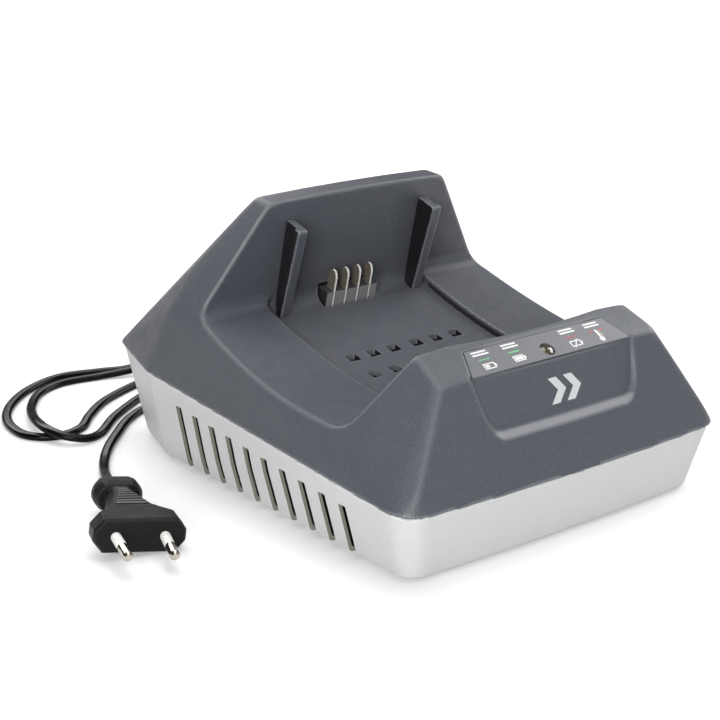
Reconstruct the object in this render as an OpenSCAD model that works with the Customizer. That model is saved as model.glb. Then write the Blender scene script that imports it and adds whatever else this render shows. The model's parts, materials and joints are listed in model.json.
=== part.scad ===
// Fast charger for a slide-on tool battery: grey tub, dark upper shell with a
// sloping battery bay, four contact blades, one status lamp, fan cooled,
// flat two-core mains lead with a flat two-pin plug.
// Front is -Y, the vented long sides are -X and +X, up is +Z.
// The origin is on the surface it stands on, under the middle of the body.

/* [Body] */
// Width of the body at the joint between the two shells
body_w = 168; // [160:1:176]
// Length of the body at the joint between the two shells
body_l = 213; // [205:1:220]
// Height of the joint plane above the surface, at the middle
joint_z = 36.2; // [34:0.1:38]
// Forward slope of the joint plane, in degrees
joint_tilt = 4; // [2:0.5:5]
// Height of the crest of the backrest
crest_z = 114; // [108:0.5:118]
// Wall thickness of the two shells
wall = 2.5; // [2:0.1:3]
// Radius of the front corners in plan
front_r = 11.5; // [8:0.5:14]

/* [Battery bay] */
// Height of the bay floor at the middle of the body
bed_z = 57.3; // [55:0.1:58]
// Half width of the sunken middle of the bay
channel_hw = 42; // [38:0.5:44]
// Depth of the sunken middle of the bay
channel_d = 3.6; // [2:0.1:4]
// Distance from the middle to a guide rib
rib_x = 35.8; // [33:0.1:38]
// Side of a square vent hole
vent = 5.2; // [4:0.1:6]

/* [Vents] */
// Number of slots down each side
slot_n = 10; // [6:1:11]
// Pitch of the side slots
slot_p = 12.15; // [11:0.05:13]
// Width of a side slot
slot_w = 3.4; // [2.5:0.1:4]

/* [Contacts] */
// Pitch of the contact blades
blade_p = 6.4; // [5.5:0.1:6.5]
// Thickness of a contact blade
blade_t = 1; // [0.6:0.1:1.2]
// Width of a contact blade
blade_w = 5; // [4:0.1:5.5]

/* [Fan] */
// Side of the square fan frame
fan_s = 60; // [60:1:60]
// Depth of the fan
fan_h = 15; // [12:0.5:15]
// Number of fan blades
fan_n = 7; // [5:1:9]

/* [Plug and lead] */
// Distance between the plug pins at their base
pin_pitch = 18.6; // [18:0.1:19]
// Diameter of a plug pin
pin_d = 4; // [3.8:0.1:4]
// Width of the flat lead
lead_w = 4.6; // [4.2:0.1:5]

/* [Hidden] */
$fn = 48;
hw = body_w/2;
yf = -body_l/2;              // front of the joint outline, at the middle
yr = body_l/2;               // rear of the joint outline
tilt = tan(joint_tilt);
bow = 3.15;                  // how far the front bows outwards
gap = 0.12;
// joint plane height at y
function jz(y) = joint_z + tilt*y;
// floor of the bay, a shallow hollow that rises to the rear
function bz(y) = bed_z + 0.25*y + 0.0018*y*y;
// front face of the backrest, leaning forward
back_lean = 0.25;
function by(z) = 27.6 + back_lean*(113 - z);

charcoal = [0.33,0.34,0.37];
lightgrey = [0.80,0.81,0.81];
dark = [0.10,0.10,0.11];
nickel = [0.78,0.76,0.70];
steel = [0.62,0.63,0.65];

// ---------- plan outlines ----------
// right half of a closed outline, front middle to rear middle
// h half width, f front y, r rear y, b bow, q front corner radius, c chamfer
// start, ci chamfer inset at the rear, k rear corner radius
function half(h,f,r,b,q,ci,k) = concat(
 [for(i=[0:6]) let(x=(h-q)*i/6) [x, f+b*pow(x/h,2)]],
 [for(i=[1:6]) let(a=90*i/6, y0=f+b*pow((h-q)/h,2)+q) [h-q+q*sin(a), y0-q*cos(a)]],
 [[h, 40],[h,69]],
 [for(i=[0:4]) let(a=17+73*i/4) [h-ci-k*cos(17)+k*cos(a)+0.1, r-k+k*sin(a)]],
 [[0, r]]);
function outline(h,f,r,b,q,ci,k) = let(p=half(h,f,r,b,q,ci,k)) concat(p,
 [for(i=[len(p)-2:-1:1]) [-p[i][0], p[i][1]]]);
// outline inset by d all round
module plan(d, hwid=hw, f=yf, r=yr) {
  polygon(outline(hwid-d, f+d, r-d, bow, max(front_r-d,1), 8.6, max(9-d,1)));
}
// thin slice of the plan on the joint plane, moved up by e
module joint_slice(d, e=0) {
  translate([0,0,joint_z+e]) rotate([joint_tilt,0,0]) linear_extrude(0.01) plan(d);
}
// thin level slice
module level_slice(h,f,r,z,q=8) {
  translate([0,0,z]) linear_extrude(0.01) polygon(outline(h,f,r,2.2,q,8.6,9));
}
// everything above the joint plane
module above(e=0) {
  translate([0,0,joint_z+e]) rotate([joint_tilt,0,0]) translate([-200,-200,0]) cube([400,400,300]);
}

// ---------- outer form of the upper shell ----------
// knots of the outer form, right side: [x, y, z]; inset by d
upper_knots = [[77.6,12.6,60.7],[75.1,37.4,69.2],[78.2,-13,54.6],[77.2,-48,49.5],
 [74.6,58,68.5],[64.5,80,68.5],[44,36.5,113.5],[43.5,29.5,112.8],
 [56.5,-75.5,73.4],[56,-83,70.2],[50,-74,75.4],[50,-86.5,69.4],
 [71,-96,46.5],[82,-98,31],[0,36.5,114],[25,36.5,113.9],[0,-76,75.3],[28,-75.4,75.3],[0,-88.8,69.2],[28,-88.2,69.2]];
module upper_form(d) {
  hull() {
    joint_slice(d-(d>0 ? 1.2 : 0.3), d>0 ? -4 : -1);
    joint_slice(d+0.2, 1);
    for (k=upper_knots) for (s=[-1,1])
      translate([s*max(k[0]-1.6,0), k[1]*(1-2*0.008), k[2]-1.4]) sphere(r=max(3-d,0.5), $fn=12);
  }
}
// side view of the bay, extruded right through; e is taken off the cut
module bay(e, hwid) {
  n = 12;
  y0 = -56 + e; y1 = 33 - 0*e;
  rotate([90,0,90]) translate([0,0,-hwid]) linear_extrude(2*hwid)
    polygon(concat(
      [[-70.5+1.0*e-0.45*60, 75.6+60]],
      [[-70.5+1.0*e, 75.6]],
      [[-60.5+e, bz(-60)+5.5]],
      [for(i=[0:4]) let(a=i/4) [-60.5+e+6*a, bz(-60)+5.5*pow(1-a,2)-0.35-e*0]],
      [for(i=[0:n]) let(y=-48+(34-e+48)*i/n) [y, bz(y)]],
      [[by(bz(34)+3)-1.2-e, bz(36)+2.4]],
      [[by(80)-e, 80],[by(114)-e, 114],[by(160)-e,160]]
    ));
}
module bay_cut() {
  bay(0, 120);
  translate([0,0,-channel_d]) bay(0.01, channel_hw);
}
// material line under the bay floor
module bay_cut_inner() {
  translate([0,0,-wall]) bay(-wall, 130);
  translate([0,0,-channel_d-wall]) bay(-wall, channel_hw+wall);
}

vent_y = [-2.7, -17.2, -31.7];
vent_x = [6.1, 16.85, 27.55];
case_xy = [[64,-76],[62,68]];
exit_x = 44;
pcb_xy = [[50,-74],[50,66]];
feet_y = [-62,50];
fan_c = [0,-17];
fan_z = 27;
label_y = -84; label_z = 72.1; label_a = 28.4;
lens_v = -1.9;               // lamp below the middle of the label

// a separate upright guide, pegged through the backrest, with a groove on its outer flank
module rib_pegs(s,r) for (z=[78,96])
  translate([s*rib_x,by(z)-1.5,z]) rotate([-90+atan(back_lean),0,0]) cylinder(r=r,h=4.6,$fn=24);
module guide_rib(s) {
  difference() {
    translate([s*rib_x-2.6,0,0]) rotate([90,0,90]) linear_extrude(5.2)
      polygon([[32.3,63.85],[33.9,64.4],[36.5,67.5],[36.4,70.9],[35.7,80],[29.25,105.8],[28.6,105.9],[18.9,102.9],[18.55,102.4]]);
    translate([s*(rib_x+2.6)-1.3,0,0]) rotate([90,0,90]) linear_extrude(2.6)
      polygon([[35.0,66],[21.5,103],[25.5,110],[38.2,70]]);
  }
  rib_pegs(s,1.5);
}
module guide_ribs() color(dark) { guide_rib(-1); guide_rib(1); }

module top_shell() color(charcoal) {
  difference() {
    union() {
      difference() {
        intersection() { upper_form(0); above(); }
        bay_cut();
        difference() {
          upper_form(wall);
          bay_cut_inner();
        }
      }
      // screw posts and fan posts, under the roof
      intersection() {
        difference() { upper_form(1); bay_cut_inner(); }
        union() {
          for (p=case_xy) for (s=[-1,1]) translate([s*p[0],p[1],18]) cylinder(r=4.2,h=90);
          for (x=[-25,25]) for (y=[-25,25])
            translate([fan_c[0]+x,fan_c[1]+y,fan_z+fan_h+0.1]) cylinder(r=3.6,h=40);
          // carrier of the status lamp board
          translate([0,label_y,label_z]) rotate([label_a,0,0])
            for (s=[-1,1]) translate([s*16.5,5,-11.4]) cylinder(r=2.6,h=14);
        }
      }
    }
    // pilot holes
    translate([0,label_y,label_z]) rotate([label_a,0,0])
      for (s=[-1,1]) translate([s*16.5,5,-12]) cylinder(r=0.8,h=6);
    for (p=case_xy) for (s=[-1,1]) translate([s*p[0],p[1],10]) cylinder(r=1.35,h=30);
    for (x=[-25,25]) for (y=[-25,25])
      translate([fan_c[0]+x,fan_c[1]+y,fan_z]) cylinder(r=1.25,h=18);
    // square vents in the bay floor
    for (y=vent_y) for (x=vent_x) for (s=[-1,1])
      translate([s*x-vent/2,y-vent/2,30]) cube([vent,vent,24]);
    // holes for the pegs of the guides
    for (s=[-1,1]) rib_pegs(s,1.58);
    // seat of the contact block
    contact_at() translate([-14.3,-0.9,-9]) cube([28.6,8.4,18]);
    // label seat and lamp hole
    translate([0,label_y,label_z]) rotate([label_a,0,0]) {
      translate([0,0,0]) linear_extrude(8)
        polygon([[-36,6.4],[36,6.4],[41.3,-6.2],[-41.3,-6.2]]);
      translate([0,lens_v,-12]) cylinder(r=3.4,h=30);
    }
    // shallow panel seat in the front of the nose
    hull() for (s=[-1,1]) {
      translate([s*41.5,-91.9,67.5]) rotate([70,0,0]) cylinder(r=0.3,h=9,$fn=16);
      translate([s*32.5,-95,53]) rotate([66,0,0]) cylinder(r1=6,r2=13,h=9,$fn=32);
    }
  }
}

// ---------- tub ----------
module tub_form(d) {
  hull() {
    joint_slice(d+0.3, d>0 ? 1 : -0.03);
    level_slice(hw-6.8-d, yf+7.4+d, yr-10-d, 4+d);
    level_slice(hw-7.6-d, yf+8.5+d, yr-13.5-d, 1.5+d);
  }
}
module side_slots() {
  for (s=[-1,1]) for (i=[0:slot_n-1])
    let(y=-11.4+(i-(slot_n-1)/2)*slot_p)
      translate([s>0 ? 70.5 : -90, y-slot_w/2, 0])
        cube([19.5, slot_w, jz(y)-9]);
}
module base_shell() color(lightgrey) {
  difference() {
    union() {
      difference() {
        tub_form(0);
        tub_form(wall);
        side_slots();
      }
      // raised lip that locates the upper shell
      difference() {
        union() {
          translate([0,0,joint_z-3]) rotate([joint_tilt,0,0]) linear_extrude(2.6) plan(2);
          translate([0,0,joint_z-2]) rotate([joint_tilt,0,0]) linear_extrude(3.2) plan(3.4);
        }
        translate([0,0,joint_z-6]) rotate([joint_tilt,0,0]) linear_extrude(12) plan(4.7);
      }
      // screw wells, board posts
      for (p=case_xy) for (s=[-1,1]) translate([s*p[0],p[1],1.5]) cylinder(r=5,h=16.3);
      for (p=pcb_xy) for (s=[-1,1]) translate([s*p[0],p[1],2]) cylinder(r=3.4,h=6);
      // cord clamp posts
      for (s=[-1,1]) translate([exit_x+s*9,82,2]) cylinder(r=3,h=8);
      // snout for the strain relief
      translate([exit_x,94,14]) rotate([-90,0,0]) cylinder(r=8.5,h=7.6);
    }
    // wells for the case screws, from below
    for (p=case_xy) for (s=[-1,1]) translate([s*p[0],p[1],0]) {
      cylinder(r=3.3,h=12);
      cylinder(r=1.8,h=30);
    }
    for (p=pcb_xy) for (s=[-1,1]) translate([s*p[0],p[1],4.3]) cylinder(r=1.15,h=5);
    for (s=[-1,1]) translate([exit_x+s*9,82,4.6]) cylinder(r=1.15,h=8);
    // cord exit
    translate([exit_x,85,14]) rotate([-90,0,0]) cylinder(r=5.2,h=40);
    // seats of the feet
    for (x=[-56,56]) for (y=feet_y) translate([x,y,0]) cylinder(r=6.1,h=2.3);
  }
}
module rubber_feet() color(dark)
  for (x=[-56,56]) for (y=feet_y) translate([x,y,0]) cylinder(r=6,h=2.3);

module indicator_label() color([0.36,0.37,0.40])
  translate([0,label_y,label_z]) rotate([label_a,0,0]) difference() {
    linear_extrude(0.9) polygon([[-35.85,6.3],[35.85,6.3],[41.05,-6.05],[-41.05,-6.05]]);
    translate([0,lens_v,-1]) cylinder(r=3.2,h=4);
  }
module status_lens() color([0.25,0.24,0.12])
  translate([0,label_y,label_z]) rotate([label_a,0,0]) translate([0,lens_v,0]) rotate_extrude()
    polygon([[0,-7.5],[2.4,-7.5],[2.4,-1.2],[3.05,-1.2],[3.05,0.2],[2.2,0.65],[1.1,0.85],[0,0.9]]);
module led_board() color([0.12,0.35,0.18])
  translate([0,label_y,label_z]) rotate([label_a,0,0]) difference() {
    translate([-20,-8,-13]) cube([40,16,1.6]);
    for (s=[-1,1]) translate([s*16.5,5,-14]) cylinder(r=1.3,h=4);
  }
module indicator_led() color([0.85,0.9,0.85])
  translate([0,label_y,label_z]) rotate([label_a,0,0]) translate([0,lens_v,0]) rotate_extrude()
    polygon([[0,-11.4],[2.9,-11.4],[2.9,-10.3],[2.5,-10.3],[2.5,-9.2],[1.8,-8.2],[0,-7.8]]);

// ---------- contacts ----------
// the contacts stand along the backrest, so they lean with it
contact_a = atan(back_lean);
module contact_at() translate([0,34,63.1]) rotate([contact_a,0,0]) children();
module terminal_block() color([0.13,0.13,0.15]) contact_at() difference() {
  union() {
    translate([-13.5,0,-1]) cube([27,6.6,8.1]);
    translate([-11.5,0.6,-6]) cube([23,5.4,5.5]);
  }
  for (i=[-1.5:1:1.5]) translate([i*blade_p-blade_t/2-0.05,-0.2,-7]) cube([blade_t+0.1,blade_w+0.9,20]);
}
module contact_blades() color(nickel) contact_at()
  for (i=[-1.5:1:1.5]) translate([i*blade_p-blade_t/2,0,0]) rotate([90,0,90]) linear_extrude(blade_t)
    polygon([[0.3,-12],[4.8,-12],[4.8,-6],[5.1,14.2],[4.4,15.6],[3,16.4],[1.5,16],[0.5,14.6],[0.2,12.9]]);

// ---------- electronics ----------
pcb_z = 8.1;
module main_pcb() color([0.10,0.32,0.16]) difference() {
  translate([-56,-80,pcb_z]) cube([112,160,1.6]);
  for (p=pcb_xy) for (s=[-1,1]) translate([s*p[0],p[1],pcb_z-1]) cylinder(r=1.7,h=4);
  // corner left free for the cord clamp
  translate([exit_x-14,76,pcb_z-1]) cube([30,10,4]);
}
top = pcb_z + 1.6;
module transformer_core() color([0.16,0.16,0.17]) difference() {
  translate([-46,14,top+2]) cube([36,32,30]);
  translate([-47,20,top+8]) cube([38,20,18]);
}
module transformer_winding() color([0.85,0.65,0.15]) difference() {
  translate([-44,20.3,top+8.3]) cube([32,19.4,17.4]);
  translate([-29,15,top+15]) cube([2,30,3]);
}
module bulk_capacitor() color([0.13,0.16,0.30])
  translate([36,34,top]) cylinder(r=12.5,h=36);
module output_capacitors() color([0.15,0.20,0.35])
  for (i=[0:2]) translate([-42+i*13.5,-58,top]) cylinder(r=5,h=16);
module heatsink() color([0.75,0.76,0.78]) {
  translate([-2,17,top]) cube([3,36,26]);
  for (i=[0:4]) translate([0.9,18+i*8,top+1]) cube([12,1.6,24]);
}
module switching_transistors() color(dark)
  for (i=[0:1]) translate([-6.8,20+i*18,top+4]) { cube([4.7,10,15]); for (k=[1.2,4.6,8]) translate([2,k,-4]) cube([0.7,0.9,4.1]); }
module input_choke() color([0.20,0.45,0.25])
  translate([22,62,top]) rotate_extrude() translate([7.5,4.6]) circle(r=4.4);
module fuse() color([0.85,0.86,0.88])
  translate([2,64.6,top+3.2]) rotate([0,90,0]) translate([0,0,-14]) cylinder(r=2.6,h=20);
module film_capacitor() color([0.85,0.72,0.15])
  translate([-36,56,top]) cube([18,10,15]);
module mains_terminal() color([0.15,0.35,0.25]) difference() {
  translate([-5,68,top]) cube([11,9,11]);
  for (x=[-2.2,3.2]) translate([x,78,top+4]) rotate([90,0,0]) cylinder(r=1.3,h=6);
}
module control_chip() color(dark)
  translate([18,-44,top]) cube([12,12,2.4]);
module pcb_screws() color(steel)
  for (p=pcb_xy) for (s=[-1,1]) translate([s*p[0],p[1],0]) screw(pcb_z+1.6, 5.2, 1.1, 2.8);
// pan head screw: underside of head at z, length down, shank and head radius
module screw(z,l,rs,rh) {
  translate([0,0,z]) difference() {
    union() { cylinder(r=rh,h=1.7); translate([0,0,-l]) cylinder(r=rs,h=l+0.1); }
    for (a=[0,90]) rotate([0,0,a]) translate([-rh*0.55,-0.3,0.9]) cube([rh*1.1,0.6,2]);
  }
}
module case_screws() color(steel)
  for (p=case_xy) for (s=[-1,1]) translate([s*p[0],p[1],0]) rotate([180,0,0]) screw(-12, 20, 1.3, 3);
module fan_screws() color(steel)
  for (x=[-25,25]) for (y=[-25,25])
    translate([fan_c[0]+x,fan_c[1]+y,0]) rotate([180,0,0]) screw(-fan_z, 17.6, 1.2, 2.6);
module contact_wires() color([0.75,0.12,0.10])
  for (i=[-1.5:1:1.5]) translate([i*blade_p-0.9,0,0]) rotate([90,0,90]) linear_extrude(1.8)
    polygon([[38,51.5],[40,52],[40.4,48],[58,42],[58,top],[56,top],[56,40.4],[38.6,46.4]]);
module led_wires() color([0.85,0.85,0.20])
  for (x=[-9,-6,6,9]) translate([x-0.6,0,0]) rotate([90,0,90]) linear_extrude(1.2)
    polygon([[-81,58.8],[-79.6,59.5],[-79.4,50],[-72.8,40],[-72.8,top],[-74,top],[-74,39.4],[-80.8,49.4]]);

// ---------- fan ----------
module fan_frame() color(dark) translate([fan_c[0],fan_c[1],fan_z]) {
  difference() {
    translate([-fan_s/2,-fan_s/2,0]) cube([fan_s,fan_s,fan_h]);
    translate([0,0,2.2]) cylinder(r=28,h=fan_h);
    difference() {
      translate([0,0,-1]) cylinder(r=28,h=5);
      translate([0,0,-2]) cylinder(r=12.5,h=8);
      for (a=[45:90:315]) rotate([0,0,a]) translate([10,-1.6,-2]) cube([20,3.2,8]);
    }
    for (x=[-25,25]) for (y=[-25,25]) translate([x,y,-1]) cylinder(r=1.9,h=fan_h+2);
    // bearing bore
    translate([0,0,-1]) cylinder(r=1.55,h=10);
  }
  difference() {
    cylinder(r=4.2,h=7.5);
    translate([0,0,-1]) cylinder(r=1.55,h=10);
  }
}
module fan_rotor() color([0.16,0.16,0.18]) translate([fan_c[0],fan_c[1],fan_z]) {
  // shaft
  translate([0,0,0.4]) cylinder(r=1.5,h=9.5);
  // cup
  difference() {
    translate([0,0,3.2]) cylinder(r=13,h=fan_h-3.9);
    translate([0,0,3]) cylinder(r=11,h=5.4);
  }
  for (i=[0:fan_n-1]) rotate([0,0,i*360/fan_n])
    translate([12.5,0,3.4]) rotate([0,90,0]) rotate([0,0,38])
      translate([-1,-5.5,0]) translate([-5.0,0,0]) cube([1.2,11,13.6]);
}

// ---------- lead and plug ----------
// strain relief at the rear
module strain_relief() color(dark) translate([exit_x,0,14]) rotate([-90,0,0]) difference() {
  union() {
    translate([0,0,90.6]) cylinder(r=5.0,h=12);
    translate([0,0,101.7]) cylinder(r1=7.2,r2=6.2,h=3.4);
    translate([0,0,105]) cylinder(r1=5.4,r2=3.4,h=26);
    translate([0,0,90.6]) cylinder(r=6.6,h=2.6);
  }
  for (i=[0:4]) translate([0,0,108.2+i*4.4]) difference() {
    cylinder(r=9,h=1.6);
    translate([0,0,-1]) cylinder(r=3.0,h=4);
  }
}
module cord_clamp() color([0.2,0.2,0.22]) difference() {
  translate([exit_x-12,79,10.1]) cube([24,6,4.4]);
  for (s=[-1,1]) translate([exit_x+s*9,82,9]) cylinder(r=1.6,h=7);
  translate([exit_x,90,10.1-1.4]) rotate([90,0,0]) cylinder(r=2.6,h=14);
}
// sheathed end of the lead inside, and its two cores
module inner_lead() color([0.06,0.06,0.07])
  sweep([[exit_x,90.3,14],[exit_x,89,13.9],[exit_x,87,11.6],[exit_x,85.2,9.4],[exit_x,82,8.7],[exit_x,78.5,8.9],
    [exit_x-1,76.6,11.5],[exit_x-4,76.2,13.4]], 2.2, 1.2, 8);
module mains_wires() color([0.15,0.25,0.60]) {
  sweep([[39.2,76.3,13],[34,76.2,13.6],[27,78.5,13.7],[16,81.5,13.7],[8,82,13.7],[4.2,80.5,13.7],[3.2,78.2,13.7],[3.2,74,13.7]], 0.9, 0.9, 8);
  sweep([[39.4,76.3,15.6],[34,76.4,16.4],[26,80.5,16.4],[14,84.5,16],[2,84.5,14.6],[-1.4,82,13.8],[-2.2,78.6,13.7],[-2.2,74,13.7]], 0.9, 0.9, 8);
}
module clamp_screws() color(steel)
  for (s=[-1,1]) translate([exit_x+s*9,82,0]) screw(14.5, 9.6, 1.1, 2.7);

// routes of the lead where it isn't coiled: out of the strain relief and down
// to the coil, then from the coil through two loose loops to the plug
lead_h = 3.2;
coil_c = [46,176];
route_a = [[44,131.1,14],[44,133,13.9],[44,138,13.1],[46,146,11],[51,153,9],[59,158,7.6],[67,162.5,6.4],[71.5,168,5.6]];
route_b = [[37,207,1.5],[28,204,1.5],[18,199.5,1.5],[2,189,1.5],[-13,180.5,1.5],[-28,178,1.5],[-42,182.5,1.5],[-60,187,1.5],
 [-80,180,1.5],[-97,166,1.5],[-108,150,1.5],[-112,136,1.5],[-111.5,124.5,1.5],[-106,117,1.5],
 [-97.5,114.5,1.5],[-88,117.5,1.5],[-77,129,1.5],[-62,142,1.5],[-40,153,1.5],[-24,158.5,1.5],[-10,165,2],[0,173,4.6],
 [7,184,8],[16,193,8.4],[28,197,8.4],[40,194,8.4],[49,186,8.4],[52,175,8.4],[49,164,8.4],
 [40,156,8.4],[28,153,8.4],[14,156,8.4],[2,160,8],[-10,164,6.6],[-20,167.5,4.8],[-31,171,3],
 [-46,176,1.6],[-65,178,1.5],[-80,171,1.5],[-92,156,2],[-99.5,141,3.6],[-104,127,5],[-105,114.5,5.2],
 [-101.5,106.5,4],[-94,102.5,2.4],[-85.5,105.5,1.5],[-69,120.5,1.5],[-48,135,1.5],[-30,145,1.5],[-12,151,1.5],
 [6,150,1.5],[19,142,1.5],[23,129,1.5],[16,117,1.5],[2,113,1.5],[-14,115,1.5],[-28,120,1.5],
 [-41,123.5,1.5],[-53,121.5,1.5],[-66,113.5,1.5],[-79,101,1.5],[-89,90.5,1.5],[-98,79,1.5],[-107,64,3],
 [-114,50,5.8],[-118.4,39,8],[-120.95,32.3,8.5]];
module mains_cord() color([0.06,0.06,0.07]) {
  sweep(route_a, lead_w/2, lead_h/2, 8);
  sweep(route_b, lead_w/2, lead_h/2, 8);
}
// flat tube swept through a list of points
function unit(v) = v/norm(v);
function tangent(p,i) = unit(p[min(i+1,len(p)-1)]-p[max(i-1,0)]);
module sweep(p, rx, rz, n) {
  m = len(p);
  pts = [for(i=[0:m-1]) let(t=tangent(p,i), s=unit(cross(t,[0,0,1])), u=cross(s,t))
    for(k=[0:n-1]) p[i]+rx*cos(360*(k+0.5)/n)*s+rz*sin(360*(k+0.5)/n)*u];
  polyhedron(points=pts, faces=concat(
    [[for(k=[n-1:-1:0]) k]],
    [for(i=[0:m-2]) for(k=[0:n-1]) let(a=i*n+k,b=i*n+(k+1)%n) [a,b+n,a+n]],
    [for(i=[0:m-2]) for(k=[0:n-1]) let(a=i*n+k,b=i*n+(k+1)%n) [a,b,b+n]],
    [[for(k=[0:n-1]) (m-1)*n+k]]));
}
module cord_coil() color([0.06,0.06,0.07])
  translate([coil_c[0],coil_c[1],0]) rotate_extrude() translate([25.6,0]) square([11,6.7]);

// plug, lying on the surface with its pins to the front
plug_p = [-137.2,-14.9,8.5];
plug_a = -19;
plug_roll = 7;
plug_l = 50;
module plug_at() translate(plug_p) rotate([0,0,plug_a]) rotate([0,plug_roll,0]) children();
// flattened section of the moulded plug: w wide, t thick, at y, d long
module plug_slab(w,t,y,d=0.6) translate([0,y,0]) rotate([-90,0,0]) linear_extrude(d)
  polygon([[-w/2+t*0.28,-t/2],[w/2-t*0.28,-t/2],[w/2,-t*0.16],[w/2,t*0.16],[w/2-t*0.28,t/2],
    [-w/2+t*0.28,t/2],[-w/2,t*0.16],[-w/2,-t*0.16]]);
module plug_body() color([0.13,0.13,0.14]) plug_at() difference() {
  union() {
    hull() { plug_slab(34,12.4,0); plug_slab(35.3,13.7,1.5); plug_slab(35.3,13.7,9); plug_slab(24,13.2,15); }
    hull() { plug_slab(24,13.2,14.8); plug_slab(11.5,11,38); }
    hull() { plug_slab(18,11.5,39); plug_slab(20,12.6,42); plug_slab(18,11.5,48); }
    plug_slab(11,10,37,12.8);
    // grip ridges across both faces of the neck
    for (i=[0:6]) let(y=17.2+2.7*i, f=(y-14.8)/23.2) plug_slab(21.5-12.5*f, 14.0-2.2*f, y, 1.2);
  }
  for (s=[-1,1]) translate([s*pin_pitch/2,-0.1,0]) rotate([-90,0,0]) cylinder(r=1.5,h=9);
}
// a pin leans in a little towards the other one
module pin_at(s) plug_at() translate([s*pin_pitch/2,0,0]) rotate([90,0,-s*2.1]) children();
module plug_pins() color(nickel)
  for (s=[-1,1]) pin_at(s) difference() {
    union() {
      translate([0,0,9.9]) cylinder(r=pin_d/2,h=8.1);
      translate([0,0,18]) cylinder(r1=pin_d/2,r2=pin_d/2-1,h=1);
      translate([0,0,0.05]) cylinder(r=pin_d/2-0.75,h=10);
    }
  }
module pin_sleeves() color([0.92,0.92,0.92])
  for (s=[-1,1]) pin_at(s) difference() {
    translate([0,0,0.12]) cylinder(r=pin_d/2,h=9.7);
    translate([0,0,-1]) cylinder(r=pin_d/2-0.7,h=14);
  }

top_shell();
guide_ribs();
base_shell();
indicator_label();
status_lens();
led_board();
indicator_led();
terminal_block();
contact_blades();
main_pcb();
transformer_core();
transformer_winding();
bulk_capacitor();
output_capacitors();
heatsink();
switching_transistors();
input_choke();
fuse();
film_capacitor();
mains_terminal();
control_chip();
cord_clamp();
clamp_screws();
strain_relief();
fan_frame();
fan_rotor();
fan_screws();
case_screws();
pcb_screws();
rubber_feet();
contact_wires();
led_wires();
inner_lead();
mains_wires();
mains_cord();
cord_coil();
plug_body();
plug_pins();
pin_sleeves();
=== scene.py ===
import json
import math
import random

import bmesh
import bpy
import numpy as np
from mathutils import Matrix, Vector


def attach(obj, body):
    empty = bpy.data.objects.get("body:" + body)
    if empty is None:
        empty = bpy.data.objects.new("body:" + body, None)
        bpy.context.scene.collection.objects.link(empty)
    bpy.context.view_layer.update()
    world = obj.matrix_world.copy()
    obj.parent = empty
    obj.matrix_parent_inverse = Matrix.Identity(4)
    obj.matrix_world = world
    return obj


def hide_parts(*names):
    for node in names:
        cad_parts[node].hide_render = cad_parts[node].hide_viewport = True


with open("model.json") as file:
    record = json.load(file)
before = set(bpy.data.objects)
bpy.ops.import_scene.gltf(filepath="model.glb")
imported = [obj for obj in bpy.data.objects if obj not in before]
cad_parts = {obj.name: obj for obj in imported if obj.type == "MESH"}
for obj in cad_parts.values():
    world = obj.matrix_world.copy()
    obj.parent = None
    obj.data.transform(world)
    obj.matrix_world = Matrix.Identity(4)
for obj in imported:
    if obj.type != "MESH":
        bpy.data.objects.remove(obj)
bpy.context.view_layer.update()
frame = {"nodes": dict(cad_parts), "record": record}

MM = 0.001
random.seed(4)
rng = np.random.default_rng(4)
nodes = frame["nodes"]

# ---------------------------------------------------------------- helpers
def new_object(name, mesh, body="body"):
    o = bpy.data.objects.new(name, mesh)
    bpy.context.scene.collection.objects.link(o)
    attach(o, body)
    return o


def mesh_from(name, verts, faces, smooth=True):
    m = bpy.data.meshes.new(name)
    verts = np.asarray(verts, np.float64)
    if isinstance(faces, np.ndarray):
        n, k = faces.shape
        m.vertices.add(len(verts))
        m.vertices.foreach_set("co", verts.ravel())
        m.loops.add(n * k)
        m.loops.foreach_set("vertex_index", faces.ravel().astype(np.int32))
        m.polygons.add(n)
        m.polygons.foreach_set("loop_start", np.arange(0, n * k, k, dtype=np.int32))
        m.polygons.foreach_set("loop_total", np.full(n, k, np.int32))
        m.update(calc_edges=True)
    else:
        m.from_pydata([tuple(v) for v in verts], [], [tuple(int(i) for i in f) for f in faces])
        m.update()
    m.validate()
    if smooth:
        m.polygons.foreach_set("use_smooth", np.ones(len(m.polygons), bool))
    m.update()
    return m


def sweep_mesh(path, section, up=(0, 0, 1), cap=True):
    """Vertices and faces of a closed section swept along a path; section is (side, up) offsets."""
    P = np.asarray(path, float)
    S = np.asarray(section, float)
    T = np.gradient(P, axis=0)
    T /= np.linalg.norm(T, axis=1)[:, None]
    U = np.asarray(up, float)
    side = np.cross(T, U)
    side /= np.linalg.norm(side, axis=1)[:, None]
    upv = np.cross(side, T)
    V = P[:, None, :] + S[None, :, 0:1] * side[:, None, :] + S[None, :, 1:2] * upv[:, None, :]
    m, n = len(P), len(S)
    V = V.reshape(-1, 3)
    F = []
    for i in range(m - 1):
        for k in range(n):
            a, b = i * n + k, i * n + (k + 1) % n
            F.append((a, a + n, b + n, b))
    if cap:
        F.append(tuple(range(n)))
        F.append(tuple(range(m * n - 1, (m - 1) * n - 1, -1)))
    return V, F


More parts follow.
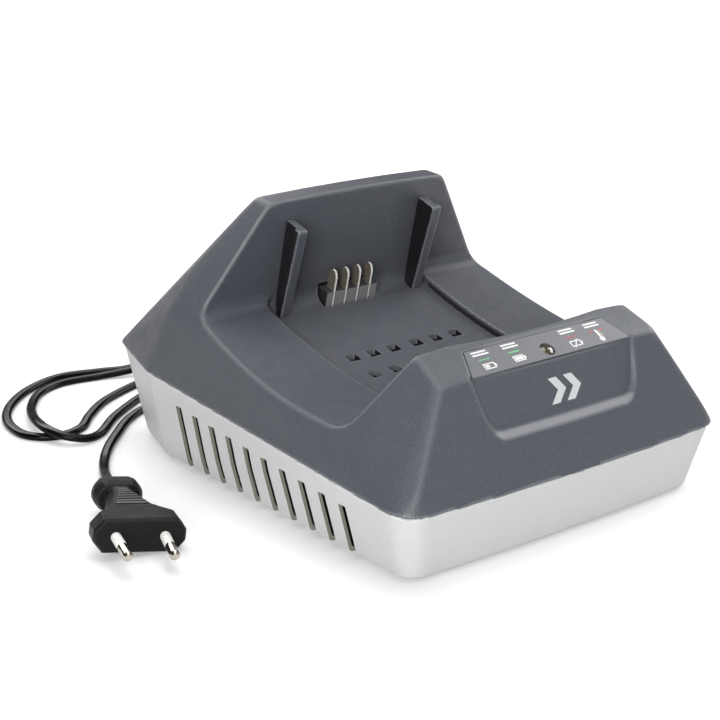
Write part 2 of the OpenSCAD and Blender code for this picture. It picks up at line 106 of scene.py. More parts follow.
def catmull(points, step):
    """Points of a smooth line through the given ones, about step apart."""
    P = np.asarray(points, float)
    P = np.vstack([2 * P[0] - P[1], P, 2 * P[-1] - P[-2]])
    out = []
    for i in range(1, len(P) - 2):
        p0, p1, p2, p3 = P[i - 1], P[i], P[i + 1], P[i + 2]
        n = max(2, int(round(np.linalg.norm(p2 - p1) / step)))
        t0 = 0.0
        t1 = t0 + np.linalg.norm(p1 - p0) ** 0.5
        t2 = t1 + np.linalg.norm(p2 - p1) ** 0.5
        t3 = t2 + np.linalg.norm(p3 - p2) ** 0.5
        for k in range(n):
            t = t1 + (t2 - t1) * k / n
            a1 = (t1 - t) / (t1 - t0) * p0 + (t - t0) / (t1 - t0) * p1
            a2 = (t2 - t) / (t2 - t1) * p1 + (t - t1) / (t2 - t1) * p2
            a3 = (t3 - t) / (t3 - t2) * p2 + (t - t2) / (t3 - t2) * p3
            b1 = (t2 - t) / (t2 - t0) * a1 + (t - t0) / (t2 - t0) * a2
            b2 = (t3 - t) / (t3 - t1) * a2 + (t - t1) / (t3 - t1) * a3
            out.append((t2 - t) / (t2 - t1) * b1 + (t - t1) / (t2 - t1) * b2)
    out.append(P[-2])
    return np.array(out)


# ---------------------------------------------------------------- materials
def node_of(nt, kind, **inputs):
    n = nt.nodes.new(kind)
    for k, v in inputs.items():
        if k in n.inputs:
            n.inputs[k].default_value = v
        else:
            setattr(n, k, v)
    return n


def plastic(name, color, rough=0.45, grain=0.0, grain_scale=2600.0, mottle=0.04, specular=0.5,
            worn_and_lit_edges=0.0, worn_and_lit_edge_color=None, rough_var=0.06, coat=0.0, metallic=0.0, coarse=0.0, bump_dist=0.00012,
            transmission=0.0, ior=1.5, emission=None, specks=0.0, speck_scale=2300.0):
    m = bpy.data.materials.new(name)
    m.use_nodes = True
    nt = m.node_tree
    b = nt.nodes["Principled BSDF"]
    b.inputs["Base Color"].default_value = (*color, 1)
    b.inputs["Roughness"].default_value = rough
    b.inputs["Metallic"].default_value = metallic
    b.inputs["Specular IOR Level"].default_value = specular
    b.inputs["IOR"].default_value = ior
    if coat:
        b.inputs["Coat Weight"].default_value = coat
        b.inputs["Coat Roughness"].default_value = 0.12
    if transmission:
        b.inputs["Transmission Weight"].default_value = transmission
    if emission:
        b.inputs["Emission Color"].default_value = (*emission[:3], 1)
        b.inputs["Emission Strength"].default_value = emission[3]
    tc = nt.nodes.new("ShaderNodeTexCoord")
    big = node_of(nt, "ShaderNodeTexNoise", Scale=24.0, Detail=4.0, Roughness=0.55)
    nt.links.new(tc.outputs["Object"], big.inputs["Vector"])
    ramp = nt.nodes.new("ShaderNodeMapRange")
    ramp.inputs["From Min"].default_value = 0.3
    ramp.inputs["From Max"].default_value = 0.7
    ramp.inputs["To Min"].default_value = 1.0 - mottle
    ramp.inputs["To Max"].default_value = 1.0 + mottle
    nt.links.new(big.outputs["Fac"], ramp.inputs["Value"])
    fine = node_of(nt, "ShaderNodeTexNoise", Scale=grain_scale, Detail=2.0, Roughness=0.6)
    nt.links.new(tc.outputs["Object"], fine.inputs["Vector"])
    speck = nt.nodes.new("ShaderNodeMapRange")
    speck.inputs["From Min"].default_value = 0.25
    speck.inputs["From Max"].default_value = 0.75
    speck.inputs["To Min"].default_value = 1.0 - 0.35 * grain
    speck.inputs["To Max"].default_value = 1.0 + 0.35 * grain
    nt.links.new(fine.outputs["Fac"], speck.inputs["Value"])
    mul = nt.nodes.new("ShaderNodeMath")
    mul.operation = "MULTIPLY"
    nt.links.new(ramp.outputs["Result"], mul.inputs[0])
    nt.links.new(speck.outputs["Result"], mul.inputs[1])
    mix = nt.nodes.new("ShaderNodeVectorMath")
    mix.operation = "SCALE"
    mix.inputs[0].default_value = color
    nt.links.new(mul.outputs[0], mix.inputs["Scale"])
    out_color = mix.outputs[0]
    if specks > 0:
        sn = node_of(nt, "ShaderNodeTexNoise", Scale=speck_scale, Detail=1.0, Roughness=0.5)
        nt.links.new(tc.outputs["Object"], sn.inputs["Vector"])
        sr = nt.nodes.new("ShaderNodeMapRange")
        sr.inputs["From Min"].default_value = 0.62
        sr.inputs["From Max"].default_value = 0.74
        sr.inputs["To Min"].default_value = 0.0
        sr.inputs["To Max"].default_value = specks
        nt.links.new(sn.outputs["Fac"], sr.inputs["Value"])
        ms = nt.nodes.new("ShaderNodeMix")
        ms.data_type = "RGBA"
        ms.inputs[7].default_value = (*[min(1, c * 3.2) for c in color], 1)
        nt.links.new(sr.outputs["Result"], ms.inputs[0])
        nt.links.new(out_color, ms.inputs[6])
        out_color = ms.outputs[2]
    # lighter colour on sharp edges, picked by pointiness: partly worn edges, partly a painted highlight along the edges
    if worn_and_lit_edges > 0:
        geo = nt.nodes.new("ShaderNodeNewGeometry")
        wr = nt.nodes.new("ShaderNodeMapRange")
        wr.inputs["From Min"].default_value = 0.506
        wr.inputs["From Max"].default_value = 0.545
        wr.inputs["To Min"].default_value = 0.0
        wr.inputs["To Max"].default_value = worn_and_lit_edges
        nt.links.new(geo.outputs["Pointiness"], wr.inputs["Value"])
        mc = nt.nodes.new("ShaderNodeMix")
        mc.data_type = "RGBA"
        mc.inputs[7].default_value = (*(worn_and_lit_edge_color or [min(1, c * 1.8) for c in color]), 1)
        nt.links.new(wr.outputs["Result"], mc.inputs[0])
        nt.links.new(out_color, mc.inputs[6])
        out_color = mc.outputs[2]
    nt.links.new(out_color, b.inputs["Base Color"])
    rr = nt.nodes.new("ShaderNodeMapRange")
    rr.inputs["From Min"].default_value = 0.3
    rr.inputs["From Max"].default_value = 0.7
    rr.inputs["To Min"].default_value = max(0.02, rough - rough_var)
    rr.inputs["To Max"].default_value = min(1.0, rough + rough_var)
    mid = node_of(nt, "ShaderNodeTexNoise", Scale=140.0, Detail=3.0)
    nt.links.new(tc.outputs["Object"], mid.inputs["Vector"])
    nt.links.new(mid.outputs["Fac"], rr.inputs["Value"])
    nt.links.new(rr.outputs["Result"], b.inputs["Roughness"])
    if grain > 0 or coarse > 0:
        bp = nt.nodes.new("ShaderNodeBump")
        bp.inputs["Strength"].default_value = min(1.0, 0.25 + grain)
        bp.inputs["Distance"].default_value = bump_dist
        nt.links.new(fine.outputs["Fac"], bp.inputs["Height"])
        last = bp
        if coarse > 0:
            b2 = nt.nodes.new("ShaderNodeBump")
            b2.inputs["Strength"].default_value = coarse
            b2.inputs["Distance"].default_value = 0.0003
            nt.links.new(mid.outputs["Fac"], b2.inputs["Height"])
            nt.links.new(bp.outputs["Normal"], b2.inputs["Normal"])
            last = b2
        nt.links.new(last.outputs["Normal"], b.inputs["Normal"])
    return m


M = {}
def tone(m, color, parts, curve=None):
    """Another colour where the normal or the place of the surface falls in the given ranges; used to paint light and
    shade.
    """
    nt = m.node_tree
    b = nt.nodes["Principled BSDF"]
    old = b.inputs["Base Color"].links[0].from_socket
    geo = nt.nodes.new("ShaderNodeNewGeometry")
    axes = {}
    for k, out in (("n", "Normal"), ("p", "Position")):
        axes[k] = nt.nodes.new("ShaderNodeSeparateXYZ")
        nt.links.new(geo.outputs[out], axes[k].inputs[0])
    values = [(axes[w].outputs[a], ab, lo, hi) for w, a, ab, lo, hi in parts]
    if curve:
        # height over the curved floor z = c0 + c1 y + c2 y y
        c0, c1, c2, lo, hi = curve
        t = nt.nodes.new("ShaderNodeMath")
        t.operation = "MULTIPLY_ADD"
        nt.links.new(axes["p"].outputs[1], t.inputs[0])
        t.inputs[1].default_value = c2
        t.inputs[2].default_value = c1
        u = nt.nodes.new("ShaderNodeMath")
        u.operation = "MULTIPLY_ADD"
        nt.links.new(axes["p"].outputs[1], u.inputs[0])
        nt.links.new(t.outputs[0], u.inputs[1])
        u.inputs[2].default_value = c0
        v = nt.nodes.new("ShaderNodeMath")
        v.operation = "SUBTRACT"
        nt.links.new(axes["p"].outputs[2], v.inputs[0])
        nt.links.new(u.outputs[0], v.inputs[1])
        values.append((v.outputs[0], False, lo, hi))
    fac = None
    for sock, ab, lo, hi in values:
        if ab:
            q = nt.nodes.new("ShaderNodeMath")
            q.operation = "ABSOLUTE"
            nt.links.new(sock, q.inputs[0])
            sock = q.outputs[0]
        r = nt.nodes.new("ShaderNodeMapRange")
        r.inputs["From Min"].default_value = lo
        r.inputs["From Max"].default_value = hi
        nt.links.new(sock, r.inputs["Value"])
        if fac is None:
            fac = r.outputs["Result"]
        else:
            q = nt.nodes.new("ShaderNodeMath")
            q.operation = "MULTIPLY"
            nt.links.new(fac, q.inputs[0])
            nt.links.new(r.outputs["Result"], q.inputs[1])
            fac = q.outputs[0]
    mx = nt.nodes.new("ShaderNodeMix")
    mx.data_type = "RGBA"
    mx.inputs[7].default_value = (*color, 1)
    nt.links.new(fac, mx.inputs[0])
    nt.links.new(old, mx.inputs[6])
    nt.links.new(mx.outputs[2], b.inputs["Base Color"])


# the lighter colour on the shell's edges is a painted highlight along them
M["shell"] = plastic("shell_plastic", (0.0555, 0.0595, 0.0710), rough=0.47, grain=0.45, grain_scale=1700.0,
                     mottle=0.02, worn_and_lit_edges=0.5, worn_and_lit_edge_color=(0.155, 0.16, 0.172), specular=0.40, specks=0.45, speck_scale=2900.0)
# painted shade: near-black colour for the flanks of the guide ribs
M["rib"] = plastic("rib_flank_shade", (0.007, 0.007, 0.008), rough=0.34, grain=0.15, mottle=0.05, worn_and_lit_edges=0.25, specular=0.35)
# painted shade for the inner faces of the shell and the tub
M["inside"] = plastic("inside_shade", (0.010, 0.010, 0.010), rough=0.6, grain=0.15, mottle=0.05, specular=0.2)
# painted shade: grey-brown for the walls inside the side slots
M["slot_wall_shade"] = plastic("slot_wall_shade", (0.20, 0.20, 0.17), rough=0.55, grain=0.15, mottle=0.05, specular=0.3)
M["tub"] = plastic("tub_plastic", (0.445, 0.450, 0.452), rough=0.46, grain=0.20, grain_scale=2400.0,
                   mottle=0.012, specular=0.4, worn_and_lit_edges=0.25, worn_and_lit_edge_color=(0.64, 0.65, 0.66))
M["label"] = plastic("label_film", (0.094, 0.098, 0.108), rough=0.36, grain=0.12, grain_scale=3500.0, mottle=0.02)
M["lens"] = plastic("lens_smoked", (0.045, 0.040, 0.018), rough=0.07, mottle=0.1, coat=0.6, rough_var=0.02)
M["led_epoxy"] = plastic("led_epoxy", (0.75, 0.8, 0.7), rough=0.1, mottle=0.05)
M["laminate"] = plastic("board_laminate", (0.02, 0.12, 0.05), rough=0.3, grain=0.1, mottle=0.12)
M["black_plastic"] = plastic("black_moulded", (0.022, 0.022, 0.024), rough=0.42, grain=0.2, mottle=0.08, worn_and_lit_edges=0.25)
M["nickel"] = plastic("nickel_plate", (0.74, 0.70, 0.62), rough=0.22, metallic=1.0, mottle=0.06, grain=0.08,
                      grain_scale=900.0, rough_var=0.08)
M["ferrite"] = plastic("ferrite", (0.035, 0.035, 0.04), rough=0.7, grain=0.4, mottle=0.1)
M["winding_tape"] = plastic("winding_tape", (0.62, 0.40, 0.04), rough=0.35, grain=0.1, mottle=0.1)
M["capacitor_sleeve"] = plastic("capacitor_sleeve", (0.02, 0.03, 0.10), rough=0.3, grain=0.05, mottle=0.1)
M["aluminium"] = plastic("extruded_aluminium", (0.70, 0.71, 0.72), rough=0.34, metallic=1.0, grain=0.1, mottle=0.08)
M["choke_core"] = plastic("coated_core", (0.03, 0.16, 0.07), rough=0.5, grain=0.2, mottle=0.1)
M["fuse_glass"] = plastic("fuse_glass", (0.80, 0.83, 0.86), rough=0.08, mottle=0.02, transmission=0.6)
M["film_box"] = plastic("film_box", (0.62, 0.45, 0.04), rough=0.35, grain=0.1)
M["terminal_green"] = plastic("terminal_green", (0.03, 0.18, 0.09), rough=0.4, grain=0.2)
M["zinc_steel"] = plastic("zinc_steel", (0.55, 0.56, 0.58), rough=0.32, metallic=1.0, grain=0.15, mottle=0.12)
M["foot_rubber"] = plastic("foot_rubber", (0.02, 0.02, 0.02), rough=0.75, grain=0.3)
M["wire_red"] = plastic("wire_red", (0.45, 0.02, 0.015), rough=0.35, grain=0.05)
M["wire_yellow"] = plastic("wire_yellow", (0.55, 0.48, 0.03), rough=0.35, grain=0.05)
M["wire_blue"] = plastic("wire_blue", (0.02, 0.06, 0.35), rough=0.35, grain=0.05)
M["cord_pvc"] = plastic("lead_pvc", (0.002, 0.002, 0.0023), rough=0.19, grain=0.04, grain_scale=1800.0, mottle=0.12,
                        specular=0.11, rough_var=0.05, coarse=0.05)
M["plug_pvc"] = plastic("plug_pvc", (0.0042, 0.0042, 0.0045), rough=0.42, grain=0.8, grain_scale=1700.0, mottle=0.10,
                        specular=0.15, worn_and_lit_edges=0.25, worn_and_lit_edge_color=(0.05, 0.05, 0.052), bump_dist=0.0003, specks=0.7,
                        speck_scale=1700.0)
# painted highlight: lighter grey for the tops of the plug's grip ridges
M["plug_ridge_highlight"] = plastic("plug_ridge_highlight", (0.085, 0.085, 0.088), rough=0.35, grain=0.3, mottle=0.1, specular=0.4)
M["blade_nickel"] = plastic("blade_nickel", (0.80, 0.78, 0.72), rough=0.38, metallic=0.35, mottle=0.08, grain=0.1,
                            grain_scale=900.0, rough_var=0.08, specular=0.6)
M["block_plastic"] = plastic("block_plastic", (0.125, 0.126, 0.130), rough=0.42, grain=0.2, mottle=0.06, worn_and_lit_edges=0.3)
M["pin_nickel"] = plastic("pin_nickel", (0.50, 0.46, 0.40), rough=0.16, metallic=1.0, mottle=0.08, grain=0.06,
                          grain_scale=900.0, rough_var=0.06)
M["sleeve_white"] = plastic("sleeve_white", (0.80, 0.79, 0.76), rough=0.3, grain=0.05, mottle=0.03)
M["ink_white"] = plastic("ink_white", (0.62, 0.62, 0.62), rough=0.5, grain=0.1)
M["ink_green"] = plastic("ink_green", (0.10, 0.42, 0.16), rough=0.5, grain=0.1)
M["ink_red"] = plastic("ink_red", (0.45, 0.035, 0.04), rough=0.5, grain=0.1)
M["ink_silver"] = plastic("ink_silver", (0.43, 0.44, 0.45), rough=0.36, grain=0.15, mottle=0.05)

# painted shade: the flat flanks of the contact blades get a darker brown
tone(M["blade_nickel"], (0.135, 0.118, 0.095), [("n", 0, True, 0.6, 0.9)])
# painted shade on the terminal block: its left-facing faces near black, its upward faces darker
tone(M["block_plastic"], (0.010, 0.010, 0.011), [("n", 0, False, -0.3, -0.7)])
tone(M["block_plastic"], (0.040, 0.040, 0.043), [("n", 2, False, 0.6, 0.85)])

slot_of = {s["node"]: s["material_slot"] for s in frame["record"]["subparts"]}
for n, o in nodes.items():
    mat = M.get(slot_of.get(n, ""), M["black_plastic"])
    if n == "plug_body":
        mat = M["plug_pvc"]
    if n == "contact_blades":
        mat = M["blade_nickel"]
    if n == "terminal_block":
        mat = M["block_plastic"]
    if n == "plug_pins":
        mat = M["pin_nickel"]
    if len(o.material_slots) == 0:
        o.data.materials.append(mat)
    for s in o.material_slots:
        s.material = mat

# ---------------------------------------------------------------- camera
AZ, EL = math.radians(-38.471), math.radians(18.037)
back = Vector((math.sin(AZ) * math.cos(EL), -math.cos(AZ) * math.cos(EL), math.sin(EL)))
right = Vector((math.cos(AZ), math.sin(AZ), 0))
up = back.cross(right)
cam_data = bpy.data.cameras.new("camera")
cam_data.sensor_width = 36
cam_data.lens = 1673.39 / 720 * 36
cam_data.clip_start = 0.01
cam_data.clip_end = 20
cam = bpy.data.objects.new("camera", cam_data)
cam.matrix_world = Matrix((
    (right.x, up.x, back.x, -0.4278),
    (right.y, up.y, back.y, -0.5112),
    (right.z, up.z, back.z, 0.2627),
    (0, 0, 0, 1)))
bpy.context.scene.collection.objects.link(cam)
bpy.context.scene.camera = cam

# ---------------------------------------------------------------- the lead
ROUTE_A = [(44, 131.1, 14), (44, 133, 13.9), (44, 138, 13.1), (46, 146, 11), (51, 153, 9), (59, 158, 7.6), (67, 162.5, 6.4), (71.5, 168, 5.6)]
ROUTE_B = [(37, 207, 1.5), (28, 204, 1.5), (18, 199.5, 1.5), (2, 189, 1.5), (-13, 180.5, 1.5), (-28, 178, 1.5), (-42, 182.5, 1.5), (-60, 187, 1.5),
           (-80, 180, 1.5), (-97, 166, 1.5), (-108, 150, 1.5), (-112, 136, 1.5), (-111.5, 124.5, 1.5), (-106, 117, 1.5),
           (-97.5, 114.5, 1.5), (-88, 117.5, 1.5), (-77, 129, 1.5), (-62, 142, 1.5), (-40, 153, 1.5), (-24, 158.5, 1.5), (-10, 165, 2), (0, 173, 4.6),
           (7, 184, 8), (16, 193, 8.4), (28, 197, 8.4), (40, 194, 8.4), (49, 186, 8.4), (52, 175, 8.4), (49, 164, 8.4),
           (40, 156, 8.4), (28, 153, 8.4), (14, 156, 8.4), (2, 160, 8), (-10, 164, 6.6), (-20, 167.5, 4.8), (-31, 171, 3),
           (-46, 176, 1.6), (-65, 178, 1.5), (-80, 171, 1.5), (-92, 156, 2), (-99.5, 141, 3.6), (-104, 127, 5), (-105, 114.5, 5.2),
           (-101.5, 106.5, 4), (-94, 102.5, 2.4), (-85.5, 105.5, 1.5), (-69, 120.5, 1.5), (-48, 135, 1.5), (-30, 145, 1.5), (-12, 151, 1.5),
           (6, 150, 1.5), (19, 142, 1.5), (23, 129, 1.5), (16, 117, 1.5), (2, 113, 1.5), (-14, 115, 1.5), (-28, 120, 1.5),
           (-41, 123.5, 1.5), (-53, 121.5, 1.5), (-66, 113.5, 1.5), (-79, 101, 1.5), (-89, 90.5, 1.5), (-98, 79, 1.5), (-107, 64, 3),
           (-114, 50, 5.8), (-118.4, 39, 8), (-120.95, 32.3, 8.5)]
LEAD_W, LEAD_H = 4.6, 3.2
CX, CY = 46.0, 176.0
# the coil: two layers of two turns, entered from the top on the inside, left from below on the outside
a0 = math.atan2(168 - CY, 71.5 - CX)
a1 = math.atan2(207 - CY, 37 - CX)
turns = 3
total = 2 * math.pi * turns + ((a1 - a0) % (2 * math.pi))
coil = []
nst = 40 * turns
for i in range(1, nst):
    t = i / nst
    a = a0 + total * t
    if t < 0.5:
        u = t / 0.5
        r = 27.9 + 5.4 * min(1, max(0, (u - 0.40) / 0.2))
        z = 5.15
    else:
        u = (t - 0.5) / 0.5
        r = 33.3 - 5.4 * min(1, max(0, (u - 0.30) / 0.2)) + 5.4 * min(1, max(0, (u - 0.72) / 0.2))
        z = 1.6
    if abs(t - 0.5) < 0.06:
        z = 1.6 + 3.55 * (0.5 - (t - 0.5) / 0.12)
    coil.append((CX + r * math.cos(a), CY + r * math.sin(a), z))
cord_pts = catmull(ROUTE_A[:-1] + coil[2:-1] + ROUTE_B, 2.2)
cord_pts[:, 2] = np.maximum(cord_pts[:, 2], 1.55)
# flat two-core section with shallow hollows along both faces
sec = []
for k in range(28):
    a = 2 * math.pi * k / 28
    c, s = math.cos(a), math.sin(a)
    x = LEAD_W / 2 * abs(c) ** 0.72 * (1 if c >= 0 else -1)
    z = LEAD_H / 2 * abs(s) ** 0.80 * (1 if s >= 0 else -1)
    z *= 1 - 0.10 * math.exp(-(x / 0.55) ** 2)
    sec.append((x, z))
V, F = sweep_mesh(cord_pts, sec)
lead = new_object("mains_lead", mesh_from("mains_lead", V * MM, F))
lead.data.materials.append(M["cord_pvc"])
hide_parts("mains_cord", "cord_coil")

# a wire tie round the coil, on its far side
ta = math.radians(20)
tc_ = np.array([CX + 30.9 * math.cos(ta), CY + 30.9 * math.sin(ta), 3.4])
rad = np.array([math.cos(ta), math.sin(ta), 0])
tie = []
for k in range(33):
    a = 2 * math.pi * k / 32
    c, s = math.cos(a), math.sin(a)
    rr = (abs(c) ** 4 + abs(s) ** 4) ** -0.25
    tie.append(tc_ + rad * (5.7 * c * rr) + np.array([0, 0, 3.9 * s * rr * 0.86]))
tie = np.array(tie)
V, F = [], []
tdir = np.array([-math.sin(ta), math.cos(ta), 0])
for i in range(32):
    for w in (-1.2, 1.2):
        for q in (1.0, 1.09):
            p = tc_ + (tie[i] - tc_) * q
            p = p + tdir * w
            V.append([p[0], p[1], max(p[2], 0.12)])
for i in range(32):
    j = (i + 1) % 32
    a, b = 4 * i, 4 * j
    for s, t in ((0, 1), (1, 3), (3, 2), (2, 0)):
        F.append((a + s, b + s, b + t, a + t))
tie_o = new_object("lead_tie", mesh_from("lead_tie", np.array(V) * MM, F, smooth=False))
tie_o.data.materials.append(M["cord_pvc"])

# ---------------------------------------------------------------- shells from distance fields
K = {}
TILT = math.tan(math.radians(4))


def jz(y):
    return 36.2 + TILT * y


def bz(y):
    return 57.3 + 0.25 * y + 0.0018 * y * y


def half_outline(h, f, r, b, q, ci, k):
    p = [((h - q) * i / 8, f + b * ((h - q) * i / 8 / h) ** 2) for i in range(9)]
    y0 = f + b * ((h - q) / h) ** 2 + q
    p += [(h - q + q * math.sin(a), y0 - q * math.cos(a)) for a in [math.pi / 2 * i / 10 for i in range(1, 11)]]
    p += [(h, 40), (h, 66)]
    for i in range(7):
        a = math.radians(12 + 78 * i / 6)
        p.append((h - ci - k * math.cos(math.radians(12)) + k * math.cos(a) + 0.1, r - k + k * math.sin(a)))
    p.append((0, r))
    return p


def hull_planes(points):
    """Outward planes (n, d) of the convex hull of points and their mirror images in x."""
    pts = []
    for p in points:
        pts.append(p)
        if p[0] > 1e-6:
            pts.append((-p[0], p[1], p[2]))
    bm = bmesh.new()
    for p in pts:
        bm.verts.new(p)
    bmesh.ops.remove_doubles(bm, verts=bm.verts, dist=1e-4)
    r = bmesh.ops.convex_hull(bm, input=bm.verts, use_existing_faces=False)
    bm.normal_update()
    c = Vector((0, 0, 40))
    pl = []
    for f in bm.faces:
        if f.calc_area() < 1e-3:
            continue
        n = f.normal.copy()
        q = f.calc_center_median()
        if n.dot(q - c) < 0:
            n = -n
        pl.append((n.x, n.y, n.z, n.dot(q), f.calc_area()))
    bm.free()
    # join planes that are almost the same
    pl.sort(key=lambda v: -v[4])
    keep = []
    for v in pl:
        for w in keep:
            if v[0] * w[0] + v[1] * w[1] + v[2] * w[2] > 0.999998 and abs(v[3] - w[3]) < 0.02:
                break
        else:
            keep.append(v)
    return np.array([v[:4] for v in keep], np.float32)


def soft_form(planes, lo, hi, h, sigma):
    """Field of the convex form bounded by the planes, its edges rounded by a blur; even in x."""
    n = [int(math.ceil((b - a) / h)) + 1 for a, b in zip(lo, hi)]
    ax = [(a + h * np.arange(k)).astype(np.float32) for a, k in zip(lo, n)]
    G = np.full(n, -1e6, np.float32)
    YZ = None
    for p in planes:
        yz = (p[1] * ax[1][:, None] + p[2] * ax[2][None, :] - p[3]).astype(np.float32)
        np.maximum(G, (p[0] * ax[0])[:, None, None] + yz[None], out=G)
    s = sigma / h
    r = int(math.ceil(3 * s))
    w = np.exp(-0.5 * (np.arange(-r, r + 1) / s) ** 2)
    w = (w / w.sum()).astype(np.float32)
    for a in range(3):
        pad = [(0, 0)] * 3
        pad[a] = (r, r)
        P = np.pad(G, pad, mode="reflect", reflect_type="odd")
        G = np.zeros(n, np.float32)
        for i in range(2 * r + 1):
            sl = [slice(None)] * 3
            sl[a] = slice(i, i + n[a])
            G += w[i] * P[tuple(sl)]
    flat = G.ravel()
    s1, s0 = n[2], n[1] * n[2]

    def value(X, Y, Z):
        X, Y, Z = np.broadcast_arrays(np.abs(X), Y, Z)
        x = np.clip((X - lo[0]) / h, 0, n[0] - 1.001)
        y = np.clip((Y - lo[1]) / h, 0, n[1] - 1.001)
        z = np.clip((Z - lo[2]) / h, 0, n[2] - 1.001)
        i, j, k = x.astype(np.int32), y.astype(np.int32), z.astype(np.int32)
        x, y, z = (x - i), (y - j), (z - k)
        q = i * s0 + j * s1 + k
        c00 = flat[q] * (1 - z) + flat[q + 1] * z
        c01 = flat[q + s1] * (1 - z) + flat[q + s1 + 1] * z
        c0 = c00 * (1 - y) + c01 * y
        q = q + s0
        c00 = flat[q] * (1 - z) + flat[q + 1] * z
        c01 = flat[q + s1] * (1 - z) + flat[q + s1 + 1] * z
        c1 = c00 * (1 - y) + c01 * y
        return c0 * (1 - x) + c1 * x

    return value


def smax(a, b, k):
    h = np.maximum(k - np.abs(a - b), 0) / k
    return np.maximum(a, b) + h * h * k * 0.25


def smin(a, b, k):
    return -smax(-a, -b, k)


def inv_tilt_points(pts, dz):
    return [(x, y * math.cos(math.radians(4)), 36.2 + dz + y * math.sin(math.radians(4))) for x, y in pts]


# upper shell: points on its outside, right half
UP = [(78.2, -17.8, 53.3), (78.2, -8, 55.4), (78.0, 2.8, 58), (77.6, 12.6, 60.7), (77.0, 23, 63.8), (76.4, 29.7, 66.2),
      (75.1, 37.4, 69.2), (77.6, -38, 50.4),
      (75.3, -59.1, 49.5), (71.8, -61, 52.8), (66.2, -64.8, 61.0), (60.6, -69.2, 69.8), (54.6, -73.0, 77.2),
      (0, -76.0, 77.9), (20, -75.5, 78.1), (38, -73.8, 78.2), (48, -73.2, 77.9),
      (56.6, -86.2, 71.2), (41.1, -89.3, 70.3), (20, -90.5, 69.8), (0, -90.9, 69.6),
      (55.6, -89.7, 69.3), (63.9, -94.5, 55.8), (74.6, -100.2, 38.1), (79.8, -100.4, 29.4),
      (48, -89.2, 68.8), (52, -104.6, 28.9), (50, -98.6, 47),
      (72.7, 37.8, 72.9), (65.4, 35.6, 84.0), (60.0, 33.2, 92.6), (50.6, 28.9, 107.9), (47.7, 28.0, 112.3), (46.0, 27.2, 114.1),
      (0, 26.8, 115.1), (22, 26.9, 114.9), (0, 37.9, 116.1), (22, 38.0, 115.9), (45.0, 38.8, 115.0), (45.8, 37.4, 115.1),
      (60.5, 70, 78.6), (73.9, 101.4, 43.6), (76.9, 60.6, 63.3), (75.5, 59.1, 68), (74.5, 57, 70), (62.5, 55, 88)]
OUT_J = half_outline(84, -106.5, 106.5, 3.15, 11.5, 8.6, 9)
below = [(x * 1.0 + 0.29 * 3 * (x / 84), y + (-1.0 if y < 0 else 1.0) * 0.9 * min(1, abs(y) / 100), z)
         for x, y, z in inv_tilt_points(OUT_J, -3)]
planes_up = hull_planes(UP + inv_tilt_points(OUT_J, 0) + below)
planes_up = planes_up[planes_up[:, 2] > -0.35]
K["up"] = soft_form(planes_up, (-7.7, -115.0, 20.0), (92.0, 115.0, 124.0), 0.75, 1.2)


def convex_poly(X2, Y2, pts, k=0.0):
    """Signed distance-like field of a convex polygon in two coordinates."""
    m = None
    cx = sum(p[0] for p in pts) / len(pts)
    cy = sum(p[1] for p in pts) / len(pts)
    for i in range(len(pts)):
        ax, ay = pts[i]
        bx, by_ = pts[(i + 1) % len(pts)]
        nx, ny = by_ - ay, ax - bx
        l = math.hypot(nx, ny)
        nx, ny = nx / l, ny / l
        if (cx - ax) * nx + (cy - ay) * ny > 0:
            nx, ny = -nx, -ny
        d = (X2 - ax) * nx + (Y2 - ay) * ny
        m = d if m is None else (smax(m, d, k) if k > 0 else np.maximum(m, d))
    return m


def rib_field(X, Y, Z):
    A = np.abs(X)
    body_ = convex_poly(Y, Z, [(39, 60), (32.6, 62.5), (18.5, 102.6), (28.9, 106.0), (37.3, 72)], 1.2)
    slab = np.abs(A - 35.8) - 2.6
    r = smax(body_, slab, 1.0)
    groove = convex_poly(Y, Z, [(36.6, 62), (21.7, 103.4), (20.6, 112), (29.0, 112), (40.6, 68)], 0.6)
    groove = smax(groove, 37.0 - A, 0.4)
    return smax(r, -groove, 0.6)


def form_upper(X, Y, Z):
    """Outer form with the bay cut out, before it is hollowed."""
    A = np.abs(X)
    u = K["up"](X, Y, Z)
    # battery bay
    yc = np.clip(Y, -62, 60)
    slope = np.sqrt(1 + (0.25 + 0.0036 * yc) ** 2)
    high = (bz(yc) - Z) / slope
    low = smax((bz(yc) - 3.6 - Z) / slope, A - 42.6, 0.45)
    floor = smin(high, low, 0.45)
    backw = (Y - (27.6 + 0.25 * (113 - Z))) / math.sqrt(1 + 0.25 ** 2)
    lean = 0.605 - 0.095 * np.minimum(A / 38.0, 1) ** 2
    nose = ((-59.0 - lean * (Z - 49.5)) - Y) / 1.15
    bay = smax(floor, backw, 6.0)
    bay = smax(bay, nose, 7.0)
    return smax(u, -bay, 1.5)


